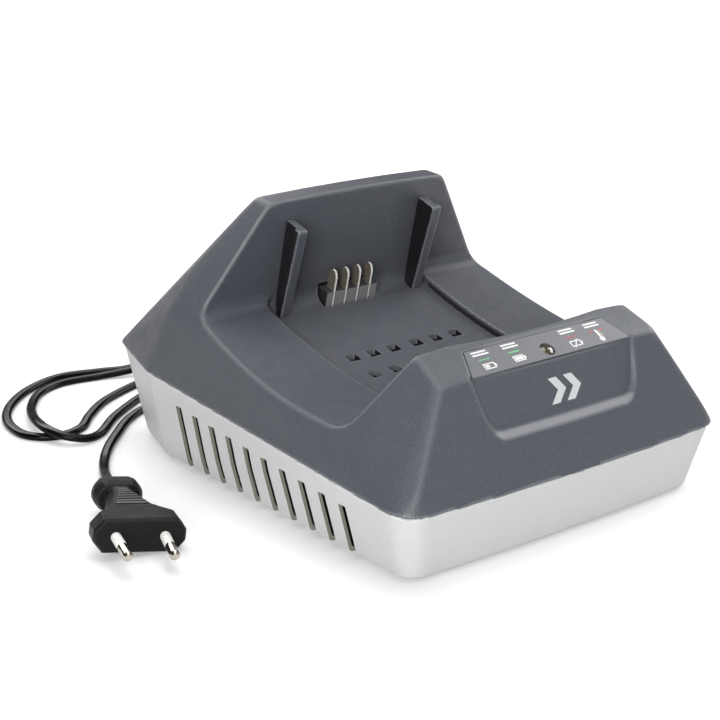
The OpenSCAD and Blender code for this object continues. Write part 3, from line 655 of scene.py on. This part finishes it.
def field_shell(X, Y, Z):
    A = np.abs(X)
    s = form_upper(X, Y, Z)
    # the front wall is thicker behind the sunken panel
    wall = 2.5 + 3.0 * np.clip((-Y - 80) / 6, 0, 1) * np.clip((Z - 42) / 4, 0, 1)
    f = smax(s, -(s + wall), 0.6)
    # parting plane
    cut = (jz(Y) - Z) * math.cos(math.radians(4))
    f = smax(f, cut, 0.5)
    # opening for the contact block, leaning with the backrest
    ca, sa = math.cos(math.atan(0.25)), math.sin(math.atan(0.25))
    yl = (Y - 34) * ca + (Z - 63.1) * sa
    zl = -(Y - 34) * sa + (Z - 63.1) * ca
    q = np.maximum(np.maximum(A - 14.2, np.abs(yl - 3.3) - 4.1), np.abs(zl) - 9)
    f = smax(f, -q, 0.4)
    # label seat and lamp hole
    la = math.radians(28.4)
    lv = (Y + 84) * math.cos(la) + (Z - 72.1) * math.sin(la)
    lw = -(Y + 84) * math.sin(la) + (Z - 72.1) * math.cos(la)
    q = convex_poly(X, lv, [(-36.0, 6.4), (36.0, 6.4), (41.3, -6.2), (-41.3, -6.2)], 0.5)
    q = smax(q, -lw, 0.25)
    f = smax(f, -q, 0.3)
    hole = np.sqrt(X * X + (lv + 1.9) ** 2) - 3.4
    f = smax(f, -np.maximum(hole, np.abs(lw) - 10), 0.25)
    # sunken panel in the front
    bow = 3.15 * (A / 84) ** 2
    inner = Y - (-89.7 + 0.330 * (Z - 70) + bow)
    ledge = ((47.2 - Z) + 0.8 * (Y + 99.3 - bow)) / 1.28
    side_ = (A - (37.0 + (Z - 47.9) * 0.225) + np.minimum(inner, 0) * 0.25) / 1.05
    q = smax(ledge, side_, 6.0)
    q = smax(q, inner, 0.9)
    q = np.maximum(q, Z - 70.4)
    f = smax(f, -q, 0.7)
    # posts inside
    for px, py in ((64, -76), (62, 68)):
        post = np.sqrt((A - px) ** 2 + (Y - py) ** 2)
        q = np.maximum(np.maximum(post - 4.2, 18 - Z), s + 1.2)
        f = np.minimum(f, q)
        f = np.maximum(f, -np.maximum(post - 1.35, Z - 40))
    return f


# lower tub
OUT_T = half_outline(83.1, -105.5, 105.5, 3.15, 11.0, 8.6, 9)
OUT_B = half_outline(75.6, -97.9, 100.2, 1.9, 8.0, 8.6, 9)
OUT_B2 = half_outline(76.3, -98.6, 95.6, 2.0, 8.2, 9.5, 9)


def lerp_out(t, z, a=None, b=None):
    return [((1 - t) * p[0] + t * q[0], (1 - t) * p[1] + t * q[1], z if z is not None else 0) for p, q in zip(OUT_B, OUT_T)]


top_pts = inv_tilt_points(half_outline(83.1, -105.5, 105.5, 3.15, 11.0, 8.6, 9), 0)
ext = []
for (x, y, z), (bx, by_) in zip(top_pts, OUT_B):
    h = z - 1.5
    ext.append((x + (x - bx) / h * 8, y + (y - by_) / h * 8, z + 8))
planes_tub = hull_planes(ext + [(p[0], p[1], 1.5) for p in OUT_B] + [(p[0], p[1], 3.0) for p in [
    (b[0] + (t[0] - b[0]) * 1.5 / 34, b[1] + (t[1] - b[1]) * 1.5 / 34) for b, t in zip(OUT_B, OUT_T)]])
planes_tub = planes_tub[planes_tub[:, 2] < 0.9]
K["tub"] = soft_form(planes_tub, (-7.7, -112.0, -6.0), (90.0, 112.0, 54.0), 0.7, 0.8)


def field_tub(X, Y, Z):
    A = np.abs(X)
    s = K["tub"](X, Y, Z)
    # the wall is thinner round the side slots
    thin = np.clip(np.minimum(np.minimum(A - 62, (jz(Y) - 6) - Z), np.minimum(Y + 74, 52 - Y)) / 2.0, 0, 1)
    f = smax(s, -(s + 2.5 - 0.95 * thin), 0.5)
    top = (Z - (jz(Y) - 0.55)) * math.cos(math.radians(4))
    f = smax(f, top, 0.35)
    # lip inside the parting line
    so = s
    lip = np.maximum(np.maximum(so + 1.9, -(so + 4.2)), np.maximum(Z - jz(Y) - 1.2, jz(Y) - 3.4 - Z))
    f = np.minimum(f, lip)
    # posts
    for px, py, r, z1 in ((64, -76, 5.0, 17.8), (62, 68, 5.0, 17.8), (50, -74, 3.4, 8.0), (50, 66, 3.4, 8.0)):
        post = np.sqrt((A - px) ** 2 + (Y - py) ** 2)
        f = np.minimum(f, np.maximum(np.maximum(post - r, Z - z1), 1.9 - Z))
        if r > 4:
            f = np.maximum(f, -np.maximum(post - 3.3, Z - 12))
            f = np.maximum(f, -(post - 1.8))
    for px in (35, 53):
        post = np.sqrt((X - px) ** 2 + (Y - 82) ** 2)
        f = np.minimum(f, np.maximum(np.maximum(post - 3, Z - 10), 1.9 - Z))
    # cord exit
    ring = np.sqrt((X - 44) ** 2 + (Z - 14) ** 2)
    f = smin(f, np.maximum(ring - 8.5, np.abs(Y - 97.8) - 3.7), 0.6)
    f = np.maximum(f, -np.maximum(ring - 5.2, np.abs(Y - 100) - 14))
    # seats of the feet
    for fy in (-62, 50):
        foot = np.sqrt((A - 56) ** 2 + (Y - fy) ** 2)
        f = smax(f, -np.maximum(foot - 6.15, Z - 2.3), 0.2)
    return f


def surface(field, lo, hi, h, steps=3):
    """Quads on the zero surface of a field: dual grid, then moved onto the surface."""
    nx, ny, nz = [int(math.ceil((b - a) / h)) + 1 for a, b in zip(lo, hi)]
    xs = (lo[0] + h * np.arange(nx)).astype(np.float32)
    ys = (lo[1] + h * np.arange(ny)).astype(np.float32)
    zs = (lo[2] + h * np.arange(nz)).astype(np.float32)
    G = np.empty((nx, ny, nz), np.float32)
    block = 24
    for i in range(0, nx, block):
        X, Y, Z = np.meshgrid(xs[i:i + block], ys, zs, indexing="ij")
        G[i:i + block] = field(X, Y, Z)
    S = G < 0
    cells = np.zeros((nx - 1, ny - 1, nz - 1), bool)
    acc = np.zeros((nx - 1, ny - 1, nz - 1, 3), np.float32)
    cnt = np.zeros((nx - 1, ny - 1, nz - 1), np.float32)
    quads = []
    base = np.array([0, 0, 0])
    for ax in range(3):
        sl0 = [slice(None)] * 3
        sl1 = [slice(None)] * 3
        sl0[ax] = slice(0, -1)
        sl1[ax] = slice(1, None)
        a, b = G[tuple(sl0)], G[tuple(sl1)]
        cross = (a < 0) != (b < 0)
        idx = np.argwhere(cross)
        ga, gb = a[cross], b[cross]
        t = ga / (ga - gb)
        pos = idx.astype(np.float32)
        pos[:, ax] += t
        o1, o2 = [q for q in range(3) if q != ax]
        for d1 in (0, 1):
            for d2 in (0, 1):
                c = idx.copy()
                c[:, o1] -= d1
                c[:, o2] -= d2
                ok = (c >= 0).all(1) & (c[:, 0] < nx - 1) & (c[:, 1] < ny - 1) & (c[:, 2] < nz - 1)
                cc = c[ok]
                np.add.at(acc, (cc[:, 0], cc[:, 1], cc[:, 2]), pos[ok])
                np.add.at(cnt, (cc[:, 0], cc[:, 1], cc[:, 2]), 1)
        quads.append((ax, idx, ga < 0))
    used = cnt > 0
    vid = np.full(used.shape, -1, np.int64)
    vid[used] = np.arange(int(used.sum()))
    V = acc[used] / cnt[used][:, None]
    V = np.stack([lo[0] + V[:, 0] * h, lo[1] + V[:, 1] * h, lo[2] + V[:, 2] * h], 1)
    F = []
    for ax, idx, inside in quads:
        o1, o2 = {0: (1, 2), 1: (2, 0), 2: (0, 1)}[ax]
        ok = (idx[:, o1] > 0) & (idx[:, o2] > 0)
        idx, ins = idx[ok], inside[ok]

        def at(d1, d2):
            c = idx.copy()
            c[:, o1] -= d1
            c[:, o2] -= d2
            return vid[c[:, 0], c[:, 1], c[:, 2]]

        q = np.stack([at(0, 0), at(1, 0), at(1, 1), at(0, 1)], 1)
        q[~ins] = q[~ins][:, ::-1]
        F.append(q)
    F = np.concatenate(F)
    F = F[(F >= 0).all(1)]
    V = V.astype(np.float64)
    e = 0.05
    V0 = V.copy()
    for _ in range(steps):
        f = field(V[:, 0], V[:, 1], V[:, 2])
        g = np.stack([field(V[:, 0] + e, V[:, 1], V[:, 2]) - f, field(V[:, 0], V[:, 1] + e, V[:, 2]) - f,
                      field(V[:, 0], V[:, 1], V[:, 2] + e) - f], 1) / e
        g2 = (g * g).sum(1)
        step = (f / np.maximum(g2, 0.15))[:, None] * g
        ln = np.linalg.norm(step, axis=1)
        step *= np.minimum(1, 0.35 * h / np.maximum(ln, 1e-9))[:, None]
        V = V - step
    off = np.linalg.norm(V - V0, axis=1)
    V = np.where((off < 0.9 * h)[:, None], V, V0)
    return V, F


def prism(poly, axis, a, b):
    """A closed prism over a polygon; axis 2 is upright, axis 0 runs along x."""
    n = len(poly)
    V = []
    for h in (a, b):
        for u, v in poly:
            V.append((u, v, h) if axis == 2 else (h, u, v))
    F = [tuple(range(n - 1, -1, -1)), tuple(range(n, 2 * n))]
    F += [(i, (i + 1) % n, n + (i + 1) % n, n + i) for i in range(n)]
    return V, F


def cut(o, prisms):
    """Cuts prisms out of an object and gives the new edges a sharp shade."""
    V, F = [], []
    for v, f in prisms:
        k = len(V)
        V += v
        F += [tuple(i + k for i in g) for g in f]
    me = mesh_from("cutter", np.array(V, float) * MM, F, smooth=False)
    bm = bmesh.new()
    bm.from_mesh(me)
    bmesh.ops.recalc_face_normals(bm, faces=bm.faces)
    bm.to_mesh(me)
    bm.free()
    c = bpy.data.objects.new("cutter", me)
    bpy.context.scene.collection.objects.link(c)
    m = o.modifiers.new("cut", "BOOLEAN")
    m.object = c
    m.operation = "DIFFERENCE"
    m.solver = "EXACT"
    dg = bpy.context.evaluated_depsgraph_get()
    new = bpy.data.meshes.new_from_object(o.evaluated_get(dg))
    o.modifiers.clear()
    old = o.data
    o.data = new
    new.name = old.name
    bpy.data.meshes.remove(old)
    bpy.data.objects.remove(c)
    bpy.data.meshes.remove(me)
    new.polygons.foreach_set("use_smooth", np.ones(len(new.polygons), bool))
    new.set_sharp_from_angle(angle=math.radians(38))
    print("cut", o.name, len(new.vertices))


def rounded(u0, u1, v0, v1, r, n=4):
    out = []
    for cu, cv, a in ((u1 - r, v1 - r, 0), (u0 + r, v1 - r, 90), (u0 + r, v0 + r, 180), (u1 - r, v0 + r, 270)):
        for k in range(n + 1):
            t = math.radians(a + 90 * k / n)
            out.append((cu + r * math.cos(t), cv + r * math.sin(t)))
    return out


H = 0.8
V, F = surface(field_shell, (-86.0, -108.4, 26.0), (86.0, 108.4, 117.0), H)
print("shell", len(V), len(F))
shell = new_object("upper_shell", mesh_from("upper_shell", V * MM, F))
shell.data.materials.append(M["shell"])
cut(shell, [prism(rounded(sx * vx - 2.65, sx * vx + 2.65, vy - 2.65, vy + 2.65, 0.6), 2, 30, 60)
            for vy in (-2.7, -17.2, -31.7) for vx in (6.1, 16.85, 27.55) for sx in (-1, 1)])
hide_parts("top_shell")
shell.data.materials.append(M["inside"])


def polygon_centres(o):
    c = np.zeros(len(o.data.polygons) * 3)
    o.data.polygons.foreach_get("center", c)
    return c.reshape(-1, 3) / MM


# painted highlight on the ledge under the sunken panel, and painted shade along the steps beside the bed
tone(M["shell"], (0.165, 0.170, 0.185), [("n", 2, False, 0.42, 0.66), ("p", 1, False, -0.0910, -0.0925),
                                         ("p", 2, False, 0.0505, 0.0490), ("p", 0, True, 0.0440, 0.0425)])
q0, q1, q2 = float(bz(np.array(0.0))), float(bz(np.array(30.0))), float(bz(np.array(-30.0)))
qc = (q1 + q2 - 2 * q0) / (2 * 900.0)
tone(M["shell"], (0.014, 0.014, 0.016), [("n", 0, True, 0.45, 0.75), ("p", 0, True, 0.0412, 0.0418),
                                         ("p", 0, True, 0.0438, 0.0432), ("p", 1, False, -0.059, -0.056),
                                         ("p", 1, False, 0.034, 0.031)],
     curve=(q0 / 1000, (q1 - q2) / 60.0, qc * 1000, -0.0014, -0.0020))

# inner faces get a darker colour: painted shade inside the shell
c = polygon_centres(shell)
depth = form_upper(c[:, 0], c[:, 1], c[:, 2])
mi = (depth < -1.3).astype(np.int32)
lw = -(c[:, 1] + 84) * math.sin(math.radians(28.4)) + (c[:, 2] - 72.1) * math.cos(math.radians(28.4))
mi[(c[:, 1] < -70) & (c[:, 2] > 44)] = 0
shell.data.polygons.foreach_set("material_index", mi)

V, F = surface(rib_field, (31.0, 16.0, 58.0), (41.0, 41.0, 108.0), 0.5)
V2 = V * np.array([-1, 1, 1])
V = np.vstack([V, V2])
F = np.vstack([F, F[:, ::-1] + len(V2)])
ribs = new_object("bay_guides", mesh_from("bay_guides", V * MM, F))
ribs.data.materials.append(M["rib"])
ribs.data.materials.append(M["shell"])
# painted shade: the guide ribs keep the shell colour on front and top faces, the other faces take the near-black colour
nr = np.zeros(len(ribs.data.polygons) * 3)
ribs.data.polygons.foreach_get("normal", nr)
nr = nr.reshape(-1, 3)
ribs.data.polygons.foreach_set("material_index", ((nr[:, 1] < -0.5) | (nr[:, 2] > 0.6)).astype(np.int32))
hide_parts("guide_ribs")

V, F = surface(field_tub, (-85.0, -107.4, 0.0), (85.0, 107.4, 46.0), H)
print("tub", len(V), len(F))
tub = new_object("lower_tub", mesh_from("lower_tub", V * MM, F))
tub.data.materials.append(M["tub"])
slots = []
for i in range(10):
    y = -9.4 + (i - 4.5) * 12.15
    for x0, x1 in ((-90, -68.5), (68.5, 90)):
        slots.append(prism(rounded(y - 2.2, y + 2.2, -5, jz(y) - 9, 0.5, 2), 0, x0, x1))
cut(tub, slots)
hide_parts("base_shell")
tub.data.materials.append(M["inside"])
tub.data.materials.append(M["slot_wall_shade"])
# painted shade: inner faces of the tub take the dark colour, and the walls inside the side slots a grey-brown
c = polygon_centres(tub)
depth = K["tub"](c[:, 0], c[:, 1], c[:, 2])
mi = ((depth < -0.45) & (np.abs(c[:, 0]) > 60) & (c[:, 2] < jz(c[:, 1]) - 4)).astype(np.int32)
mi[(depth < -1.2) & (c[:, 2] < jz(c[:, 1]) - 4)] = 1
nr = np.zeros(len(tub.data.polygons) * 3)
tub.data.polygons.foreach_get("normal", nr)
nr = nr.reshape(-1, 3)
near = np.min([np.abs(c[:, 1] - (-9.4 + (i - 4.5) * 12.15)) for i in range(10)], axis=0) < 2.35
mi[near & (np.abs(c[:, 0]) > 66) & (depth < -0.02) & (c[:, 2] < jz(c[:, 1]) - 8.5) & ((np.abs(nr[:, 1]) > 0.6) | (nr[:, 2] < -0.8))] = 2
mi[(c[:, 1] > 90) & (np.abs(c[:, 0] - 44) < 10)] = 0
tub.data.polygons.foreach_set("material_index", mi)

# ---------------------------------------------------------------- plug
PLUG_P = (-137.2, -14.9, 8.5)
PLUG_A, PLUG_ROLL = math.radians(-19), math.radians(7)


def octagon(A, C, w, t, k):
    d = smax(A - w / 2, C - t / 2, k)
    return smax(d, ((A - w / 2) * 0.34 + (C - 0.16 * t) * 0.28) / 0.4405, k)


def field_plug(X, Y, Z):
    A, C = np.abs(X), np.abs(Z)
    w = np.interp(Y, [0, 1.5, 9, 15.6], [34, 35.3, 35.3, 23.4])
    t = np.interp(Y, [0, 1.5, 9, 15.6], [12.4, 13.7, 13.7, 13.1])
    f = smax(octagon(A, C, w, t, 0.3), np.maximum(-Y, Y - 15.6), 0.5)
    q = np.clip((38 - Y) / 23.2, 0, 1)
    w = 11.5 + 12.3 * q ** 1.3
    t = 11.0 + 2.0 * q
    neck = np.maximum(octagon(A, C, w, t, 0.8), np.maximum(13.5 - Y, Y - 38))
    u = (Y - 17.8 + 1.35) % 2.7 - 1.35
    ridge = smax(octagon(A, C, w - 2.0, t + 1.1, 0.3), np.abs(u) - 0.6, 0.5)
    ridge = np.maximum(ridge, np.maximum(16.9 - Y, Y - 35.2))
    neck = smin(neck, ridge, 0.2)
    f = smin(f, neck, 0.8)
    w = np.interp(Y, [38.6, 42, 45, 48.6], [17.4, 20, 20, 17.6])
    t = np.interp(Y, [38.6, 42, 45, 48.6], [11.2, 12.6, 12.6, 11.2])
    collar = smax(octagon(A, C, w, t, 1.2), np.abs(Y - 43.6) - 5.0, 0.8)
    f = smin(f, collar, 0.5)
    stem = smax(smax(A - 5.4, C - 4.9, 2.5), np.abs(Y - 43.4) - 6.3, 0.8)
    return smin(f, stem, 0.4)


V, F = surface(field_plug, (-18.4, -0.9, -7.6), (18.4, 50.6, 7.6), 0.36)
RP = np.array((Matrix.Rotation(PLUG_A, 3, "Z") @ Matrix.Rotation(PLUG_ROLL, 3, "Y")))
V = V @ RP.T + np.array(PLUG_P)
plug = new_object("mains_plug", mesh_from("mains_plug", V * MM, F))
plug.data.materials.append(M["plug_pvc"])
plug.data.materials.append(M["plug_ridge_highlight"])
# painted highlight: the tops of the grip ridges take the lighter grey
c = (polygon_centres(plug) - np.array(PLUG_P)) @ RP
u = (c[:, 1] - 17.8 + 1.35) % 2.7 - 1.35
top = 5.5 + (38 - c[:, 1]) / 23.2 + 0.3
plug.data.polygons.foreach_set("material_index", ((np.abs(u) < 0.55) & (c[:, 1] > 16.8) & (c[:, 1] < 35.3) & (np.abs(c[:, 2]) > top)).astype(np.int32))
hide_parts("plug_body")


# ---------------------------------------------------------------- label marks
LA = math.radians(28.4)
L_O = Vector((0, -84, 72.1))
L_U = Vector((1, 0, 0))
L_V = Vector((0, math.cos(LA), math.sin(LA)))
L_W = Vector((0, -math.sin(LA), math.cos(LA)))
ink = {"ink_white": ([], []), "ink_green": ([], []), "ink_red": ([], [])}


def add_poly(where, pts, thick=0.05, lift=0.905):
    """A flat printed shape on the label, given by its corners in label coordinates."""
    V, F = ink[where]
    n = len(pts)
    b = len(V)
    for h in (lift - thick, lift + thick):
        for u, v in pts:
            V.append(L_O + L_U * u + L_V * v + L_W * h)
    F.append(tuple(b + n + i for i in range(n)))
    F.append(tuple(b + i for i in range(n - 1, -1, -1)))
    for i in range(n):
        j = (i + 1) % n
        F.append((b + i, b + j, b + n + j, b + n + i))


def bar(where, u, v, w, h):
    add_poly(where, [(u - w / 2, v - h / 2), (u + w / 2, v - h / 2), (u + w / 2, v + h / 2), (u - w / 2, v + h / 2)])


def frame_rect(where, u, v, w, h, t):
    bar(where, u, v + h / 2 - t / 2, w, t)
    bar(where, u, v - h / 2 + t / 2, w, t)
    bar(where, u - w / 2 + t / 2, v, t, h - 2 * t)
    bar(where, u + w / 2 - t / 2, v, t, h - 2 * t)


def disc(where, u, v, r, n=20):
    add_poly(where, [(u + r * math.cos(2 * math.pi * i / n), v + r * math.sin(2 * math.pi * i / n)) for i in range(n)])


def battery(u, v, fill, w=5.4, h=2.9):
    frame_rect("ink_white", u, v, w, h, 0.45)
    bar("ink_white", u + w / 2 + 0.3, v, 0.6, 1.2)
    if fill > 0:
        bar("ink_white", u - w / 2 + 0.8 + (w - 1.6) * fill / 2, v, (w - 1.6) * fill, h - 1.5)


# four groups: charging, charged, fault, temperature; each with two rows of plain bars above
groups = [(-30.0, "charging"), (-15.2, "charged"), (14.6, "fault"), (28.0, "hot")]
for u, kind in groups:
    bar("ink_white", u, 4.9, 7.2, 0.75)
    bar("ink_white", u + 0.2, 3.5, 7.8, 0.75)
    if kind == "charging":
        for k in (-1.9, 0, 1.9):
            bar("ink_green", u + k, 0.9, 1.2, 0.6)
        battery(u, -2.6, 0.5)
    elif kind == "charged":
        bar("ink_green", u, 0.9, 5.2, 0.6)
        battery(u, -2.6, 1.0)
    elif kind == "fault":
        for k in (-2.2, -0.75, 0.75, 2.2):
            bar("ink_red", u + k, 0.9, 0.8, 0.6)
        battery(u, -2.6, 0.0)
        add_poly("ink_white", [(u - 2.0, -4.6), (u - 1.4, -4.6), (u + 2.0, -0.6), (u + 1.4, -0.6)])
    else:
        bar("ink_red", u + 2.6, 0.9, 2.2, 0.6)
        bar("ink_red", u - 2.8, 0.9, 1.4, 0.6)
        bar("ink_white", u, -0.9, 1.0, 4.4)
        disc("ink_white", u, -3.7, 1.25)
        for k in (0.3, -0.8, -1.9):
            bar("ink_white", u + 1.2, k, 0.9, 0.35)
for name, (V, F) in ink.items():
    me = mesh_from("label_" + name, np.array([tuple(v) for v in V]) * MM, F, smooth=False)
    o = new_object("label_" + name, me)
    o.data.materials.append(M[name])

# a plain pair of forward-pointing chevrons on the front panel
FV, FF = [], []


def panel_point(u, z):
    bow = 3.15 * (abs(u) / 84) ** 2
    return (u, -89.7 + 0.330 * (z - 70) + bow)


def panel_poly(pts, t=0.12):
    b = len(FV)
    n = len(pts)
    for off in (0.15, -t):
        for u, z in pts:
            x, y = panel_point(u, z)
            FV.append((x, y + off, z))
    FF.append(tuple(b + n + i for i in range(n)))
    FF.append(tuple(b + n - 1 - i for i in range(n)))
    for i in range(n):
        j = (i + 1) % n
        FF.append((b + i, b + j, b + n + j, b + n + i))


for k in (-5.5, 2.5):
    panel_poly([(k, 53.5), (k + 4.2, 53.5), (k + 8.4, 58.2), (k + 4.2, 58.2)])
    panel_poly([(k + 4.2, 58.2), (k + 8.4, 58.2), (k + 4.2, 62.9), (k, 62.9)])
o = new_object("front_mark", mesh_from("front_mark", np.array(FV) * MM, FF, smooth=False))
o.data.materials.append(M["ink_silver"])

# ---------------------------------------------------------------- stage
def stage_floor():
    m = bpy.data.materials.new("floor_white")
    m.use_nodes = True
    b = m.node_tree.nodes["Principled BSDF"]
    b.inputs["Base Color"].default_value = (0.62, 0.62, 0.62, 1)
    b.inputs["Roughness"].default_value = 0.8
    b.inputs["Specular IOR Level"].default_value = 0.2
    b.inputs["Emission Color"].default_value = (1, 1, 1, 1)
    b.inputs["Emission Strength"].default_value = 0.26
    # the far floor runs into the white background
    nt = m.node_tree
    geo = nt.nodes.new("ShaderNodeNewGeometry")
    ln = nt.nodes.new("ShaderNodeVectorMath")
    ln.operation = "LENGTH"
    nt.links.new(geo.outputs["Position"], ln.inputs[0])
    r = nt.nodes.new("ShaderNodeMapRange")
    r.inputs["From Min"].default_value = 0.45
    r.inputs["From Max"].default_value = 1.3
    r.inputs["To Min"].default_value = 0.26
    r.inputs["To Max"].default_value = 1.05
    nt.links.new(ln.outputs["Value"], r.inputs["Value"])
    nt.links.new(r.outputs["Result"], b.inputs["Emission Strength"])
    me = mesh_from("floor", np.array([(-6, -6, 0), (6, -6, 0), (6, 6, 0), (-6, 6, 0)], float), [(0, 1, 2, 3)], smooth=False)
    o = bpy.data.objects.new("floor", me)
    bpy.context.scene.collection.objects.link(o)
    o.data.materials.append(m)


stage_floor()


def area(name, loc, target, size, power, color=(1, 1, 1)):
    l = bpy.data.lights.new(name, "AREA")
    l.shape = "RECTANGLE"
    l.size, l.size_y = size
    l.energy = power
    l.color = color
    o = bpy.data.objects.new(name, l)
    o.location = loc
    d = Vector(target) - Vector(loc)
    o.rotation_euler = d.to_track_quat("-Z", "Y").to_euler()
    bpy.context.scene.collection.objects.link(o)
    return o


area("top", (0.1, 0.15, 1.5), (0, 0, 0.04), (1.3, 1.2), 16.5)
area("top_front", (0, -0.8, 1.3), (0, 0, 0.04), (1.2, 0.9), 7.5)
area("left_front", (-1.2, -1.0, 0.5), (0, 0, 0.04), (0.8, 0.8), 27)
area("right", (1.4, 0, 0.8), (0, 0, 0.04), (0.8, 0.9), 14)
area("back", (0.2, 1.4, 0.9), (0, 0, 0.04), (1.2, 0.7), 13)
w = bpy.data.worlds.new("world")
bpy.context.scene.world = w
w.use_nodes = True
bg = w.node_tree.nodes["Background"]
bg.inputs["Color"].default_value = (1, 1, 1, 1)
bg.inputs["Strength"].default_value = 0.05
bpy.context.scene.view_settings.view_transform = "Standard"
bpy.context.scene.view_settings.exposure = 0.0
